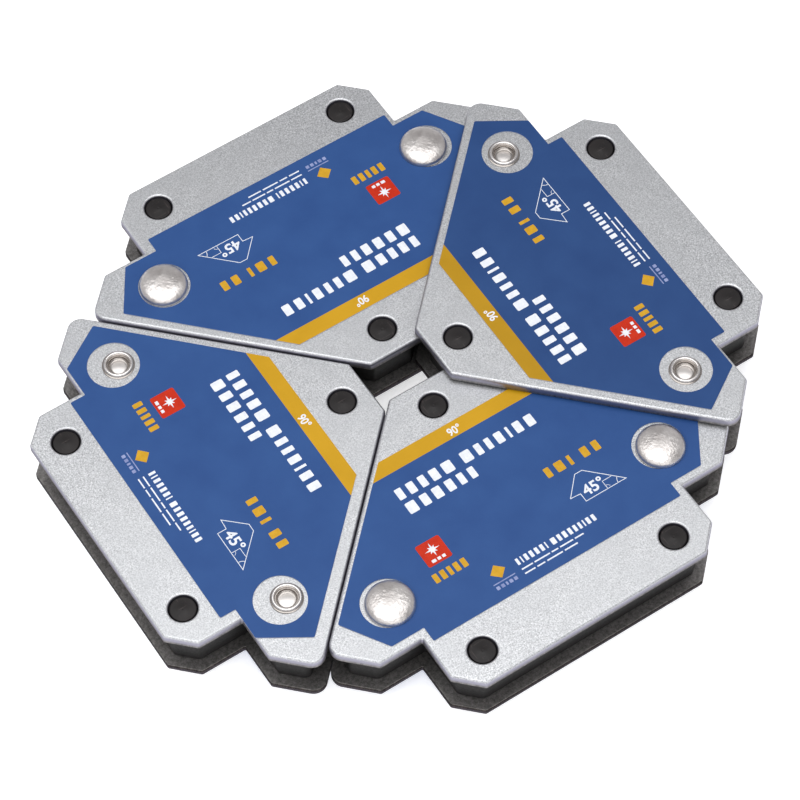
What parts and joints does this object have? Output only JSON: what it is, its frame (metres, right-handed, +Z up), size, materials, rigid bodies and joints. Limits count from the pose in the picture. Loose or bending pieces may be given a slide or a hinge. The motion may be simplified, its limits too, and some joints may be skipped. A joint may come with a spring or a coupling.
{
  "type": "magnetic welding holder set",
  "caption": "Arrow-shaped magnetic welding holders of two steel plates over a recessed magnet core, clinging in a ring with their tips at the centre.",
  "frame": {"origin": "middle of the ring's bounding box, on the surface it stands on, under the rivet domes of holder c", "axes": "+Z up, square to the plates; +X along the ring's longest side, from holder c to holder b; +Y from holder d to holder a"},
  "size_m": [0.1324, 0.1272, 0.0192],
  "materials": {
    "plate": "zinc plated, fine speckle",
    "rivet": "bright nickel plated",
    "plastic": "moulded black, satin",
    "ferrite": "ground ceramic ferrite, dull dark grey",
    "label": "printed film, satin"
  },
  "bodies": {
    "holder_d": {"holder_d_head_plate": "plate", "holder_d_eyelet_plate": "plate", "holder_d_spacer_frame": "plastic", "holder_d_magnet_left": "ferrite", "holder_d_magnet_right": "ferrite", "holder_d_plug_tip": "plastic", "holder_d_plug_left": "plastic", "holder_d_plug_right": "plastic", "holder_d_rivet_left": "rivet", "holder_d_rivet_right": "rivet", "holder_d_label_head_side": "label", "holder_d_label_eyelet_side": "label"},
    "holder_a": {"holder_a_head_plate": "plate", "holder_a_eyelet_plate": "plate", "holder_a_spacer_frame": "plastic", "holder_a_magnet_left": "ferrite", "holder_a_magnet_right": "ferrite", "holder_a_plug_tip": "plastic", "holder_a_plug_left": "plastic", "holder_a_plug_right": "plastic", "holder_a_rivet_left": "rivet", "holder_a_rivet_right": "rivet", "holder_a_label_head_side": "label", "holder_a_label_eyelet_side": "label"},
    "holder_b": {"holder_b_head_plate": "plate", "holder_b_eyelet_plate": "plate", "holder_b_spacer_frame": "plastic", "holder_b_magnet_left": "ferrite", "holder_b_magnet_right": "ferrite", "holder_b_plug_tip": "plastic", "holder_b_plug_left": "plastic", "holder_b_plug_right": "plastic", "holder_b_rivet_left": "rivet", "holder_b_rivet_right": "rivet", "holder_b_label_head_side": "label", "holder_b_label_eyelet_side": "label"},
    "holder_c": {"holder_c_head_plate": "plate", "holder_c_eyelet_plate": "plate", "holder_c_spacer_frame": "plastic", "holder_c_magnet_left": "ferrite", "holder_c_magnet_right": "ferrite", "holder_c_plug_tip": "plastic", "holder_c_plug_left": "plastic", "holder_c_plug_right": "plastic", "holder_c_rivet_left": "rivet", "holder_c_rivet_right": "rivet", "holder_c_label_head_side": "label", "holder_c_label_eyelet_side": "label"}
  },
  "joints": [
    {"name": "holder_a_pull", "type": "slide", "parent": "holder_d", "child": "holder_a", "axis": [0, 1, 0], "range_m": [0, 0.05]},
    {"name": "holder_b_pull", "type": "slide", "parent": "holder_d", "child": "holder_b", "axis": [1, 0, 0], "range_m": [0, 0.05]},
    {"name": "holder_c_pull", "type": "slide", "parent": "holder_d", "child": "holder_c", "axis": [-1, 0, 0], "range_m": [0, 0.05]}
  ]
}
